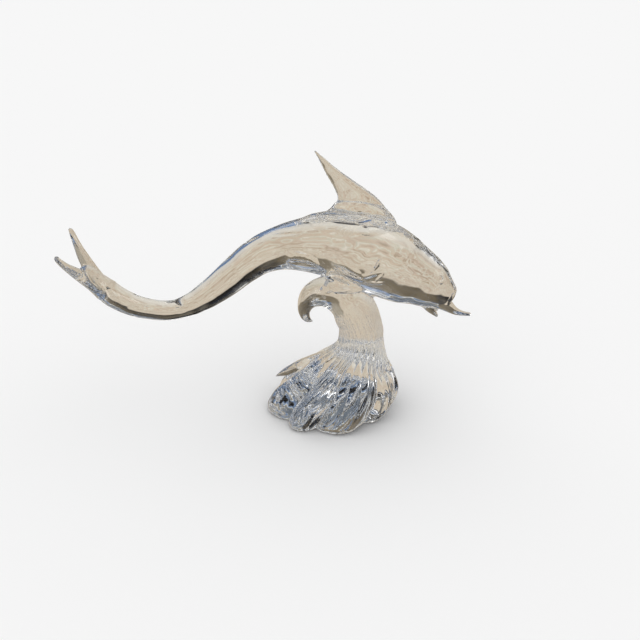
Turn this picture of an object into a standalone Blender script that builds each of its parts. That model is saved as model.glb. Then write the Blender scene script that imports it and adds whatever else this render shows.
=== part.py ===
"""Clear glass dolphin leaping over a breaking wave, hot worked as one solid piece.

The tail sweeps back and up on the -X side, the head dips towards +X, and the belly lies on
the crest of a ribbed wave that spreads into a lobed foot. Units are metres, +Z is up, and
the origin is the centre of the flat underside of the foot.
"""
import math

import bmesh
import bpy
import numpy as np
from mathutils import Vector

# Driving dimensions of the dolphin
DOLPHIN_LENGTH = 0.482      # tips of the tail to the tip of the beak, measured level
DORSAL_THICKNESS = 0.015    # dorsal fin where it leaves the back
TAIL_SPREAD = 0.094         # across the two tips of the tail
TAIL_LOBE_THICKNESS = 0.010
PECTORAL_SPREAD = 0.060     # between the middles of the two pectoral fins
PECTORAL_THICKNESS = 0.010
BEAK_WIDTH = 0.024
EYE_RADIUS = 0.0042

# Driving dimensions of the wave
WAVE_HEIGHT = 0.168         # floor to the top of the crest under the belly
SKIRT_RADIUS = 0.0785       # reach of the lobes just above the floor
FOOT_RADIUS = 0.0700        # the flat that the piece stands on
NECK_WIDTH = 0.054          # the wave's column at its narrowest, seen from the side
NECK_DEPTH = 0.048          # the same, seen from the end
LOBE_GROOVE = 0.017         # depth of the grooves between the lobes at the floor
RIBS_PER_LOBE = 3
RIB_DEPTH = 0.0016
CREST_BITE = 0.004          # how far the belly sinks into the crest
CREST_TAPER = 0.30          # how much slimmer the crest is on its hollow side, as a share
CREST_TILT = math.radians(60)   # tilt from which that slimness is full
SADDLE_X = 0.012            # where the belly rests, forward of the centre of the foot

# Where the grooves between the lobes run, in degrees round the foot from +X towards +Y
GROOVES = (-202, -139, -103, -47, -22, 2, 33, 66, 98, 128)

# Fineness of the facets. The body and the limbs have twice an odd number of sides, so that
# none of their corners runs along the middle plane, where the dorsal fin's edges stand.
BODY_SIDES = 26
BODY_STEPS = 31
CAP_STEPS = 4
SIDES_PER_LOBE = RIBS_PER_LOBE * 4
SKIRT_STEPS = 11
CURL_STEPS = 11
RIBBED_CURL_STEPS = 3       # rings of the curl over which the ribs fade out
LIMB_SIDES = 10
LIMB_STEPS = 9
DORSAL_SIDES = 16
DORSAL_STEPS = 13
EYE_SIDES = 16
EYE_RING_SIDES = 6

GLASS_TINT = (0.97, 0.95, 0.92, 1.0)
GLASS_IOR = 1.5
GLASS_ROUGHNESS = 0.02

# The body from the tail to the forehead, as shares of the dolphin's length: x and z of its
# middle measured from the belly's rest, half its height, and its width over its height.
BODY = [
    (-0.608, 0.0080, 0.0222, 1.60),
    (-0.566, -0.0312, 0.0280, 1.18),
    (-0.518, -0.0575, 0.0270, 1.00),
    (-0.468, -0.0695, 0.0250, 0.96),
    (-0.418, -0.0683, 0.0247, 0.94),
    (-0.366, -0.048, 0.0292, 0.92),
    (-0.313, -0.012, 0.0358, 0.88),
    (-0.261, 0.031, 0.0408, 0.84),
    (-0.209, 0.070, 0.0462, 0.82),
    (-0.153, 0.092, 0.0545, 0.79),
    (-0.092, 0.100, 0.0675, 0.76),
    (-0.028, 0.098, 0.0815, 0.74),
    (0.028, 0.083, 0.0910, 0.74),
    (0.088, 0.0634, 0.0917, 0.75),
    (0.141, 0.0347, 0.0838, 0.77),
    (0.185, 0.0118, 0.0695, 0.80),
    (0.2200, -0.0115, 0.0552, 0.84),
    (0.2500, -0.0303, 0.0348, 0.88),
]
NOSE_REACH = 0.018          # how far the forehead rounds on past the last station
TAIL_REACH = 0.046          # the same behind the first station

# Dorsal fin in level slices, as shares of the dolphin's length from the belly's rest: height,
# rear edge, front edge, and the thickness as a share of DORSAL_THICKNESS.
DORSAL = [
    (0.120, -0.0760, 0.1280, 1.20),
    (0.158, -0.0660, 0.1180, 1.00),
    (0.178, -0.0450, 0.1035, 0.78),
    (0.199, -0.0225, 0.0880, 0.62),
    (0.224, -0.0215, 0.0625, 0.52),
    (0.257, -0.0385, 0.0155, 0.42),
    (0.284, -0.0535, -0.0220, 0.34),
    (0.305, -0.0635, -0.0470, 0.28),
    (0.3225, -0.0735, -0.0680, 0.16),
]

# One lobe of the tail: distance along the tail's own line, share of half the spread, lift
# above that line, half width, all but the second as shares of the dolphin's length, and the
# thickness as a share of TAIL_LOBE_THICKNESS.
TAIL_LOBE = [
    (-0.030, 0.22, 0.000, 0.020, 1.30),
    (0.008, 0.30, 0.000, 0.027, 1.15),
    (0.042, 0.50, 0.004, 0.024, 0.95),
    (0.076, 0.76, 0.010, 0.0145, 0.75),
    (0.104, 0.96, 0.018, 0.0085, 0.60),
    (0.115, 1.00, 0.022, 0.0050, 0.45),
]
TAIL_UNEVEN = 0.094         # how much longer the far lobe is drawn, and the near one shorter
TAIL_ROLL = 0.06            # rise of the tail for each unit across it, towards the near side

# One pectoral fin: x and z as shares of the dolphin's length from the belly's rest, share of
# half the spread, half width as a share of the length, and the thickness as a share of
# PECTORAL_THICKNESS.
PECTORAL = [
    (0.0380, 0.0011, 0.63, 0.0065, 0.70),
    (0.0182, 0.0090, 0.85, 0.0125, 0.90),
    (-0.0035, 0.0173, 0.97, 0.0190, 1.00),
    (-0.0248, 0.0239, 0.97, 0.0240, 0.95),
    (-0.0412, 0.0125, 0.83, 0.0150, 0.75),
    (-0.0542, -0.0040, 0.63, 0.0050, 0.50),
]

# Upper beak and lower jaw: x, z and half height as shares of the dolphin's length, and the
# width as a share of BEAK_WIDTH.
BEAK = [
    (0.208, -0.030, 0.0240, 1.30),
    (0.240, -0.0465, 0.0190, 1.15),
    (0.2625, -0.0640, 0.0125, 0.80),
    (0.280, -0.0745, 0.0076, 0.56),
    (0.297, -0.0790, 0.0043, 0.40),
    (0.3115, -0.0812, 0.0033, 0.28),
]
JAW = [
    (0.190, -0.020, 0.0260, 1.10),
    (0.204, -0.050, 0.0165, 0.95),
    (0.2155, -0.0685, 0.0098, 0.66),
    (0.2295, -0.0840, 0.0038, 0.34),
]
EYE_ALONG = 0.915           # share of the way from tail to forehead
EYE_ANGLE = math.radians(36)    # up from the widest part of the head
EYE_THICKNESS = 0.34        # of the raised ring, as a share of its radius

GROOVE_ROUNDNESS = 0.8      # below 1 the lobes are full and the grooves between them narrow
FOOT_LEAN = -0.045          # the foot's middle towards +X, as a share of the wave's height
FOOT_FLARE = 0.8            # share of the full groove depth that the foot keeps

# The wave's skirt: share of the wave's height, how far its middle leans towards +X as a share
# of that height, and how far it has flared from the neck out to the full skirt.
SKIRT = [
    (0.030, -0.044, 0.94),
    (0.075, -0.016, 0.98),
    (0.135, 0.016, 0.965),
    (0.200, 0.054, 0.86),
    (0.260, 0.084, 0.71),
    (0.320, 0.106, 0.54),
    (0.370, 0.122, 0.40),
    (0.420, 0.149, 0.25),
    (0.470, 0.177, 0.12),
    (0.525, 0.193, 0.03),
    (0.590, 0.195, 0.00),
]

# The curl above the neck: x and z of its middle as shares of the wave's height, tilt in
# degrees from level towards -X, and its width and depth as shares of the neck's.
CURL = [
    (0.193, 0.640, 2, 0.98, 1.00),
    (0.176, 0.698, 10, 0.98, 1.04),
    (0.143, 0.777, 26, 0.96, 1.10),
    (0.090, 0.855, 44, 0.87, 1.16),
    (-0.006, 0.909, 66, 0.73, 1.12),
    (-0.118, 0.904, 94, 0.53, 1.00),
    (-0.190, 0.858, 122, 0.44, 0.84),
    (-0.214, 0.795, 150, 0.32, 0.60),
    (-0.210, 0.740, 173, 0.22, 0.40),
    (-0.186, 0.702, 203, 0.12, 0.20),
    (-0.158, 0.690, 235, 0.03, 0.06),
]

# A lobe of the skirt that is drawn out into a point: x, y and z and its radius, as shares of
# the wave's height.
SPIKE = [
    (-0.060, 0.045, 0.370, 0.070),
    (-0.200, 0.060, 0.318, 0.060),
    (-0.310, 0.075, 0.265, 0.045),
    (-0.385, 0.085, 0.225, 0.024),
    (-0.428, 0.090, 0.200, 0.005),
]


def curve_through(stations, where):
    """Smooth curve through evenly numbered stations, read at each place from 0 to 1."""
    stations = np.asarray(stations, dtype=float)
    slopes = np.gradient(stations, axis=0)
    place = np.asarray(where, dtype=float) * (len(stations) - 1)
    span = np.clip(np.floor(place).astype(int), 0, len(stations) - 2)
    t = (place - span)[:, None]
    start, end = stations[span], stations[span + 1]
    return (
        (1 + 2 * t) * (1 - t) ** 2 * start
        + t * (1 - t) ** 2 * slopes[span]
        + t ** 2 * (3 - 2 * t) * end
        + t ** 2 * (t - 1) * slopes[span + 1]
    )


def directions(centres):
    """Unit direction of travel at each point of a chain."""
    steps = np.gradient(centres, axis=0)
    return steps / np.linalg.norm(steps, axis=1)[:, None]


def oval_rings(centres, across, upright, half_widths, half_heights, sides):
    """Oval rings, each spanned by a half width along across and a half height along upright."""
    angle = np.linspace(0.0, 2 * math.pi, sides, endpoint=False)
    rings = []
    for centre, wide, tall, a, b in zip(centres, across, upright, half_widths, half_heights):
        rings.append(centre + np.outer(a * np.cos(angle), wide) + np.outer(b * np.sin(angle), tall))
    return rings


def skin(name, rings, collection):
    """Closed mesh object over a row of rings that have equally many points."""
    shape = bmesh.new()
    rows = [[shape.verts.new(point) for point in ring] for ring in rings]
    sides = len(rows[0])
    for row, following in zip(rows, rows[1:]):
        for i in range(sides):
            j = (i + 1) % sides
            shape.faces.new((row[i], row[j], following[j], following[i]))
    shape.faces.new(list(reversed(rows[0])))
    shape.faces.new(rows[-1])
    bmesh.ops.recalc_face_normals(shape, faces=shape.faces[:])
    mesh = bpy.data.meshes.new(name)
    shape.to_mesh(mesh)
    shape.free()
    piece = bpy.data.objects.new(name, mesh)
    collection.objects.link(piece)
    return piece


def belly_rest():
    """World point that the dolphin is placed by, where its belly lies on the crest."""
    return np.array([SADDLE_X, 0.0, WAVE_HEIGHT - CREST_BITE])


def dolphin_points(x_shares, y_values, z_shares):
    """World points from shares of the dolphin's length and real distances across."""
    x = np.asarray(x_shares) * DOLPHIN_LENGTH
    z = np.asarray(z_shares) * DOLPHIN_LENGTH
    return belly_rest() + np.stack([x, np.broadcast_to(y_values, x.shape), z], axis=1)


def body_frame(where):
    """Middle, direction, back side, half height and half width of the body at each place."""
    x, z, half_height, flatness = curve_through(BODY, where).T
    centres = dolphin_points(x, 0.0, z)
    ahead = directions(centres)
    back = np.stack([-ahead[:, 2], ahead[:, 1], ahead[:, 0]], axis=1)
    half_height = half_height * DOLPHIN_LENGTH
    return centres, ahead, back, half_height, half_height * flatness


def make_body(collection):
    """The dolphin's body, from the root of the tail to the rounded forehead."""
    where = np.linspace(0.0, 1.0, BODY_STEPS)
    centres, ahead, back, half_height, half_width = body_frame(where)
    across = np.tile([0.0, 1.0, 0.0], (BODY_STEPS, 1))
    rings = oval_rings(centres, across, back, half_width, half_height, BODY_SIDES)
    for step in range(1, CAP_STEPS + 1):
        turn = step / (CAP_STEPS + 0.4) * math.pi / 2
        shrink = math.cos(turn)
        for end, reach in ((-1, NOSE_REACH), (0, -TAIL_REACH)):
            middle = centres[end] + ahead[end] * reach * DOLPHIN_LENGTH * math.sin(turn)
            cap = oval_rings([middle], [across[end]], [back[end]],
                             [half_width[end] * shrink], [half_height[end] * shrink], BODY_SIDES)
            rings = rings + cap if end else cap + rings
    return skin("body", rings, collection)


def make_dorsal(collection):
    """The tall dorsal fin, swept back to its tip."""
    z, rear, front, thickness = curve_through(DORSAL, np.linspace(0, 1, DORSAL_STEPS)).T
    centres = dolphin_points((rear + front) / 2, 0.0, z)
    along = np.tile([1.0, 0.0, 0.0], (len(z), 1))
    aside = np.tile([0.0, 1.0, 0.0], (len(z), 1))
    half_chord = (front - rear) / 2 * DOLPHIN_LENGTH
    half_thickness = thickness * DORSAL_THICKNESS / 2
    rings = oval_rings(centres, along, aside, half_chord, half_thickness, DORSAL_SIDES)
    return skin("dorsal_fin", rings, collection)


def make_limb(name, centres, upright, half_widths, half_heights, collection):
    """A tapering limb along a chain of centres, widest across the upright direction."""
    ahead = directions(centres)
    across = np.cross(upright, ahead)
    across /= np.linalg.norm(across, axis=1)[:, None]
    tall = np.cross(ahead, across)
    rings = oval_rings(centres, across, tall, half_widths, half_heights, LIMB_SIDES)
    return skin(name, rings, collection)


def make_tail_lobe(side, collection):
    """One lobe of the tail, spread and lifted off the tail's own line."""
    along, spread, lift, half_width, thickness = curve_through(
        TAIL_LOBE, np.linspace(0, 1, LIMB_STEPS)).T
    centres, ahead, back, _, _ = body_frame(np.array([0.0, 0.02]))
    tail, up = -ahead[0], back[0]
    drawn = 1 + side * TAIL_UNEVEN
    aside = spread * side * TAIL_SPREAD / 2
    points = (centres[0] + np.outer(along * drawn * DOLPHIN_LENGTH, tail)
              + np.outer(lift * DOLPHIN_LENGTH - aside * TAIL_ROLL, up)
              + np.outer(aside, [0.0, 1.0, 0.0]))
    return make_limb(f"tail_lobe_{'far' if side > 0 else 'near'}", points, up,
                     half_width * DOLPHIN_LENGTH, thickness * TAIL_LOBE_THICKNESS / 2, collection)


def make_pectoral(side, collection):
    """One pectoral fin, swept back along the flank and over the crest."""
    x, z, spread, half_width, thickness = curve_through(PECTORAL, np.linspace(0, 1, LIMB_STEPS)).T
    points = dolphin_points(x, spread * side * PECTORAL_SPREAD / 2, z)
    upright = np.cross([0.1, 0.62 * side, -0.78], [1.0, 0.0, 0.0])
    return make_limb(f"pectoral_fin_{'far' if side > 0 else 'near'}", points, upright,
                     half_width * DOLPHIN_LENGTH, thickness * PECTORAL_THICKNESS / 2, collection)


def make_muzzle(name, stations, collection):
    """The upper beak or the lower jaw."""
    x, z, half_height, width = curve_through(stations, np.linspace(0, 1, LIMB_STEPS)).T
    centres = dolphin_points(x, 0.0, z)
    ahead = directions(centres)
    upright = np.stack([-ahead[:, 2], ahead[:, 1], ahead[:, 0]], axis=1)
    return make_limb(name, centres, upright, width * BEAK_WIDTH / 2,
                     half_height * DOLPHIN_LENGTH, collection)


def make_eye(side, collection):
    """A raised ring pressed into the cheek."""
    centres, ahead, back, half_height, half_width = body_frame(
        np.array([EYE_ALONG - 0.01, EYE_ALONG, EYE_ALONG + 0.01]))
    across = np.array([0.0, float(side), 0.0])
    spot = (centres[1] + back[1] * half_height[1] * math.sin(EYE_ANGLE)
            + across * half_width[1] * math.cos(EYE_ANGLE))
    outward = (back[1] * math.sin(EYE_ANGLE) / half_height[1]
               + across * math.cos(EYE_ANGLE) / half_width[1])
    facing = Vector(outward).to_track_quat("Z", "Y").to_euler()
    bpy.ops.mesh.primitive_torus_add(
        location=Vector(spot), rotation=facing, major_radius=EYE_RADIUS,
        minor_radius=EYE_RADIUS * EYE_THICKNESS, major_segments=EYE_SIDES,
        minor_segments=EYE_RING_SIDES)
    ring = bpy.context.object
    ring.name = f"eye_{'far' if side > 0 else 'near'}"
    for home in list(ring.users_collection):
        home.objects.unlink(ring)
    collection.objects.link(ring)
    return ring


def wave_angles():
    """Angles round the wave at equal steps across each lobe, and how far across it each lies."""
    grooves = np.radians(GROOVES + (GROOVES[0] + 360,))
    lobe = np.arange(len(GROOVES) * SIDES_PER_LOBE) / SIDES_PER_LOBE
    return np.interp(lobe, np.arange(len(grooves)), grooves), lobe % 1


def wave_ring(middle, tilt, half_width, half_depth, flare, rib_strength):
    """One ring of the wave, square to its own line and tilted from level towards -X."""
    angle, lobe_share = wave_angles()
    groove = 1 - np.sin(math.pi * lobe_share) ** GROOVE_ROUNDNESS
    ribs = (1 - np.cos(2 * math.pi * RIBS_PER_LOBE * lobe_share)) / 2
    sunk = LOBE_GROOVE * flare * groove + RIB_DEPTH * rib_strength * ribs
    slimmer = CREST_TAPER * min(1.0, tilt / CREST_TILT)
    wide = (half_width - sunk) * np.cos(angle)
    deep = (half_depth * (1 + slimmer * np.cos(angle)) - sunk) * np.sin(angle)
    outward = np.array([math.cos(tilt), 0.0, math.sin(tilt)])
    aside = np.array([0.0, 1.0, 0.0])
    return middle + np.outer(wide, outward) + np.outer(deep, aside)


def make_wave(collection):
    """The lobed foot, the ribbed skirt, the neck and the curl, as one smooth run of rings."""
    foot = np.array([FOOT_LEAN * WAVE_HEIGHT, 0.0, 0.0])
    rings = [wave_ring(foot, 0.0, FOOT_RADIUS, FOOT_RADIUS, FOOT_FLARE, 1.0)]
    for height, lean, flare in curve_through(SKIRT, np.linspace(0, 1, SKIRT_STEPS)):
        middle = np.array([lean, 0.0, height]) * WAVE_HEIGHT
        half_width = NECK_WIDTH / 2 + flare * (SKIRT_RADIUS - NECK_WIDTH / 2)
        half_depth = NECK_DEPTH / 2 + flare * (SKIRT_RADIUS - NECK_DEPTH / 2)
        rings.append(wave_ring(middle, 0.0, half_width, half_depth, flare, 1.0))
    curl = curve_through(CURL, np.linspace(0, 1, CURL_STEPS))
    for step, (x, z, tilt, width, depth) in enumerate(curl):
        middle = np.array([x, 0.0, z]) * WAVE_HEIGHT
        fade = max(0.0, 1 - step / RIBBED_CURL_STEPS)
        rings.append(wave_ring(middle, math.radians(tilt), width * NECK_WIDTH / 2,
                               depth * NECK_DEPTH / 2, 0.0, fade))
    return skin("wave", rings, collection)


def make_spike(collection):
    """The lobe that is drawn out into a point."""
    x, y, z, radius = curve_through(SPIKE, np.linspace(0, 1, LIMB_STEPS)).T * WAVE_HEIGHT
    centres = np.stack([x, y, z], axis=1)
    return make_limb("spike", centres, np.array([0.5, 0.0, 0.87]), radius * 1.3, radius * 0.8,
                     collection)


def glass():
    """See-through glass with a faint warm tint."""
    material = bpy.data.materials.new("clear_glass")
    material.use_nodes = True
    shader = material.node_tree.nodes["Principled BSDF"]
    shader.inputs["Base Color"].default_value = GLASS_TINT
    shader.inputs["Roughness"].default_value = GLASS_ROUGHNESS
    shader.inputs["Metallic"].default_value = 0.0
    shader.inputs["IOR"].default_value = GLASS_IOR
    shader.inputs["Transmission Weight"].default_value = 1.0
    return material


def fuse(name, first, others, collection):
    """One solid from overlapping forms, the way hot glass runs together."""
    fused = bpy.data.objects.new(name, first.data)
    collection.objects.link(fused)
    for form in others:
        join = fused.modifiers.new(f"fuse {form.name}", "BOOLEAN")
        join.operation = "UNION"
        join.solver = "EXACT"
        join.object = form
    return fused


def new_collection(name):
    """A collection linked to the scene."""
    collection = bpy.data.collections.new(name)
    bpy.context.scene.collection.children.link(collection)
    return collection


def main():
    for leftover in list(bpy.data.objects):
        bpy.data.objects.remove(leftover, do_unlink=True)
    sculpture = new_collection("glass dolphin sculpture")
    forms = new_collection("forms that are fused")
    wave = make_wave(forms)
    others = [make_body(forms), make_dorsal(forms), make_spike(forms)]
    others += [make_muzzle("beak", BEAK, forms), make_muzzle("jaw", JAW, forms)]
    for side in (1, -1):
        others.append(make_tail_lobe(side, forms))
        others.append(make_pectoral(side, forms))
        others.append(make_eye(side, forms))
    dolphin = fuse("glass_dolphin", wave, others, sculpture)
    dolphin.data.materials.append(glass())
    for form in [wave] + others:
        form.hide_render = True
        form.display_type = "WIRE"


main()
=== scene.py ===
"""Clear glass dolphin leaping over a breaking wave: the polished surface around the frame.

The dolphin and the wave are forms of one smooth field that run together with small fillets. An
even mesh of the frame's solid is moved onto that field, so the glass is one closed surface.
Units are metres, +Z is up, the near side is -Y, and the origin is the centre of the flat
underside of the foot.
"""

import math

import bmesh
import bpy
import numpy as np
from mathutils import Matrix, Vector


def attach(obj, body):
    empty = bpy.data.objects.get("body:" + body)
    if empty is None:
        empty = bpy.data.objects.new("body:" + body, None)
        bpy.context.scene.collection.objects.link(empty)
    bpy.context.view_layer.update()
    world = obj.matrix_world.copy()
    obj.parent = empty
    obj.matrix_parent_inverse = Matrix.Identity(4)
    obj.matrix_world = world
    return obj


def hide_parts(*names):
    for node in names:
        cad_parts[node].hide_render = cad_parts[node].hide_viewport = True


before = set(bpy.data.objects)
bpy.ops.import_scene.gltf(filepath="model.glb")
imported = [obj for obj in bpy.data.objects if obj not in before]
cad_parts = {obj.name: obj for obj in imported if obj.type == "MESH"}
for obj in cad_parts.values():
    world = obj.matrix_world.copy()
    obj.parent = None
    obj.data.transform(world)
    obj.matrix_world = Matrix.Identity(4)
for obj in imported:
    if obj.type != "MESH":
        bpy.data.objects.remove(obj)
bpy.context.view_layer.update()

# The frame's driving dimensions, which the smooth surface is worked out from too
DOLPHIN_LENGTH = 0.482      # tips of the tail to the tip of the beak, measured level
DORSAL_THICKNESS = 0.015    # dorsal fin where it leaves the back
TAIL_SPREAD = 0.094         # across the two tips of the tail
TAIL_LOBE_THICKNESS = 0.010
PECTORAL_SPREAD = 0.060     # between the middles of the two pectoral fins
PECTORAL_THICKNESS = 0.010
BEAK_WIDTH = 0.024
EYE_RADIUS = 0.0042
WAVE_HEIGHT = 0.168         # floor to the top of the crest under the belly
SKIRT_RADIUS = 0.0785       # reach of the lobes just above the floor
FOOT_RADIUS = 0.0700        # the flat that the piece stands on
NECK_WIDTH = 0.054          # the wave's column at its narrowest, seen from the side
NECK_DEPTH = 0.048          # the same, seen from the end
LOBE_GROOVE = 0.017         # depth of the grooves between the lobes at the floor
RIB_DEPTH = 0.0016
CREST_BITE = 0.004          # how far the belly sinks into the crest
CREST_TAPER = 0.30          # how much slimmer the crest is on its hollow side, as a share
CREST_TILT = math.radians(60)   # tilt from which that slimness is full
SADDLE_X = 0.012            # where the belly rests, forward of the centre of the foot

# Where the grooves between the lobes run, in degrees round the foot from +X towards +Y
GROOVES = (-202, -139, -103, -47, -22, 2, 33, 66, 98, 128)

# The body from the tail to the forehead, as shares of the dolphin's length: x and z of its
# middle measured from the belly's rest, half its height, and its width over its height
BODY = [
    (-0.608, 0.0080, 0.0222, 1.60),
    (-0.566, -0.0312, 0.0280, 1.18),
    (-0.518, -0.0575, 0.0270, 1.00),
    (-0.468, -0.0695, 0.0250, 0.96),
    (-0.418, -0.0683, 0.0247, 0.94),
    (-0.366, -0.048, 0.0292, 0.92),
    (-0.313, -0.012, 0.0358, 0.88),
    (-0.261, 0.031, 0.0408, 0.84),
    (-0.209, 0.070, 0.0462, 0.82),
    (-0.153, 0.092, 0.0545, 0.79),
    (-0.092, 0.100, 0.0675, 0.76),
    (-0.028, 0.098, 0.0815, 0.74),
    (0.028, 0.083, 0.0910, 0.74),
    (0.088, 0.0634, 0.0917, 0.75),
    (0.141, 0.0347, 0.0838, 0.77),
    (0.185, 0.0118, 0.0695, 0.80),
    (0.2200, -0.0115, 0.0552, 0.84),
    (0.2500, -0.0303, 0.0348, 0.88),
]
NOSE_REACH = 0.018          # how far the forehead rounds on past the last station
TAIL_REACH = 0.046          # the same behind the first station

# Dorsal fin in level slices, as shares of the dolphin's length from the belly's rest: height,
# rear edge, front edge, and the thickness as a share of DORSAL_THICKNESS
DORSAL = [
    (0.120, -0.0760, 0.1280, 1.20),
    (0.158, -0.0660, 0.1180, 1.00),
    (0.178, -0.0450, 0.1035, 0.78),
    (0.199, -0.0225, 0.0880, 0.62),
    (0.224, -0.0215, 0.0625, 0.52),
    (0.257, -0.0385, 0.0155, 0.42),
    (0.284, -0.0535, -0.0220, 0.34),
    (0.305, -0.0635, -0.0470, 0.28),
    (0.3225, -0.0735, -0.0680, 0.16),
]

# One lobe of the tail: distance along the tail's own line, share of half the spread, lift
# above that line, half width, all but the second as shares of the dolphin's length, and the
# thickness as a share of TAIL_LOBE_THICKNESS
TAIL_LOBE = [
    (-0.030, 0.22, 0.000, 0.020, 1.30),
    (0.008, 0.30, 0.000, 0.027, 1.15),
    (0.042, 0.50, 0.004, 0.024, 0.95),
    (0.076, 0.76, 0.010, 0.0145, 0.75),
    (0.104, 0.96, 0.018, 0.0085, 0.60),
    (0.115, 1.00, 0.022, 0.0050, 0.45),
]
TAIL_UNEVEN = 0.094         # how much longer the far lobe is drawn, and the near one shorter
TAIL_ROLL = 0.06            # rise of the tail for each unit across it, towards the near side
TAIL_ROOT = 0.02            # share of the body, from its end, whose direction the lobes carry on

# One pectoral fin: x and z as shares of the dolphin's length from the belly's rest, share of
# half the spread, half width as a share of the length, and the thickness as a share of
# PECTORAL_THICKNESS
PECTORAL = [
    (0.0380, 0.0011, 0.63, 0.0065, 0.70),
    (0.0182, 0.0090, 0.85, 0.0125, 0.90),
    (-0.0035, 0.0173, 0.97, 0.0190, 1.00),
    (-0.0248, 0.0239, 0.97, 0.0240, 0.95),
    (-0.0412, 0.0125, 0.83, 0.0150, 0.75),
    (-0.0542, -0.0040, 0.63, 0.0050, 0.50),
]
PECTORAL_ACROSS = (0.1, 0.62, -0.78)    # direction across the far fin, outwards and down

# Upper beak and lower jaw: x, z and half height as shares of the dolphin's length, and the
# width as a share of BEAK_WIDTH
BEAK = [
    (0.208, -0.030, 0.0240, 1.30),
    (0.240, -0.0465, 0.0190, 1.15),
    (0.2625, -0.0640, 0.0125, 0.80),
    (0.280, -0.0745, 0.0076, 0.56),
    (0.297, -0.0790, 0.0043, 0.40),
    (0.3115, -0.0812, 0.0033, 0.28),
]
JAW = [
    (0.190, -0.020, 0.0260, 1.10),
    (0.204, -0.050, 0.0165, 0.95),
    (0.2155, -0.0685, 0.0098, 0.66),
    (0.2295, -0.0840, 0.0038, 0.34),
]
EYE_ALONG = 0.915           # share of the way from tail to forehead
EYE_ANGLE = math.radians(36)    # up from the widest part of the head
EYE_THICKNESS = 0.34        # of the raised ring, as a share of its radius

# The wave's skirt: share of the wave's height, how far its middle leans towards +X as a share
# of that height, and how far it has flared from the neck out to the full skirt
SKIRT = [
    (0.030, -0.044, 0.94),
    (0.075, -0.016, 0.98),
    (0.135, 0.016, 0.965),
    (0.200, 0.054, 0.86),
    (0.260, 0.084, 0.71),
    (0.320, 0.106, 0.54),
    (0.370, 0.122, 0.40),
    (0.420, 0.149, 0.25),
    (0.470, 0.177, 0.12),
    (0.525, 0.193, 0.03),
    (0.590, 0.195, 0.00),
]

# The section just under the floor, where the foot is cut off: height and lean as above, and how
# much less it flares than the foot
UNDER_FLOOR = (-0.02, -0.060, 0.05)

# The curl above the neck: x and z of its middle as shares of the wave's height, tilt in
# degrees from level towards -X, and its width and depth as shares of the neck's
CURL = [
    (0.193, 0.640, 2, 0.98, 1.00),
    (0.176, 0.698, 10, 0.98, 1.04),
    (0.143, 0.777, 26, 0.96, 1.10),
    (0.090, 0.855, 44, 0.87, 1.16),
    (-0.006, 0.909, 66, 0.73, 1.12),
    (-0.118, 0.904, 94, 0.53, 1.00),
    (-0.190, 0.858, 122, 0.44, 0.84),
    (-0.214, 0.795, 150, 0.32, 0.60),
    (-0.210, 0.740, 173, 0.22, 0.40),
    (-0.186, 0.702, 203, 0.12, 0.20),
    (-0.158, 0.690, 235, 0.03, 0.06),
]
RIBBED_CURL_STEPS = 3       # stations of the curl over which the ribs fade out

# The lobe of the skirt that is drawn out into a point: x, y, z and radius as shares of the
# wave's height
SPIKE = [
    (-0.060, 0.045, 0.370, 0.070),
    (-0.200, 0.060, 0.318, 0.060),
    (-0.310, 0.075, 0.265, 0.045),
    (-0.385, 0.085, 0.225, 0.024),
    (-0.428, 0.090, 0.200, 0.005),
]
SPIKE_FACE = (0.5, 0.0, 0.87)   # direction that its flatter upper side looks in
SPIKE_WIDTH = 1.3           # its width and thickness against its round radius
SPIKE_THICKNESS = 0.8

# How square the wave's sections are from the floor up to the tip of the curl; 2 is an oval
SQUARENESS = [2.0, 2.0, 2.1, 2.35, 2.4, 2.4, 2.3]

# Creases between the ribs of the wave
RIBS_PER_LOBE = 4
RIB_SCALE = 1.5             # their depth against that of the frame's faceted ribs
RIB_FADE = 0.55             # share of that depth that is lost towards the widest part of the foot

# Grooves between the lobes and creases between the ribs: how full the swells beside them are,
# fuller with a smaller number, and how rounded their bottom is
GROOVE_SHAPE = (0.4, 0.01)
CREASE_SHAPE = (0.35, 0.02)

# Fine lines drawn in the wave: how many run round it, how steep they are, and where they start
STRIAE = [(17, 0.08, 0.3), (29, 0.06, 2.0)]

# How those lines wander: how far to the side in radians, and how often round the wave and along
WANDER = [(0.05, 3, 9), (0.03, 8, -17)]

# Fillets where each form runs into the rest
SPIKE_FILLET = 0.005
BODY_FILLET = 0.005
DORSAL_FILLET = 0.0025
BEAK_FILLET = 0.002
TAIL_FILLET = 0.008
PECTORAL_FILLET = 0.004
EYE_FILLET = 0.0008
FOOT_FILLET = 0.003         # round the edge of the flat underside

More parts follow.
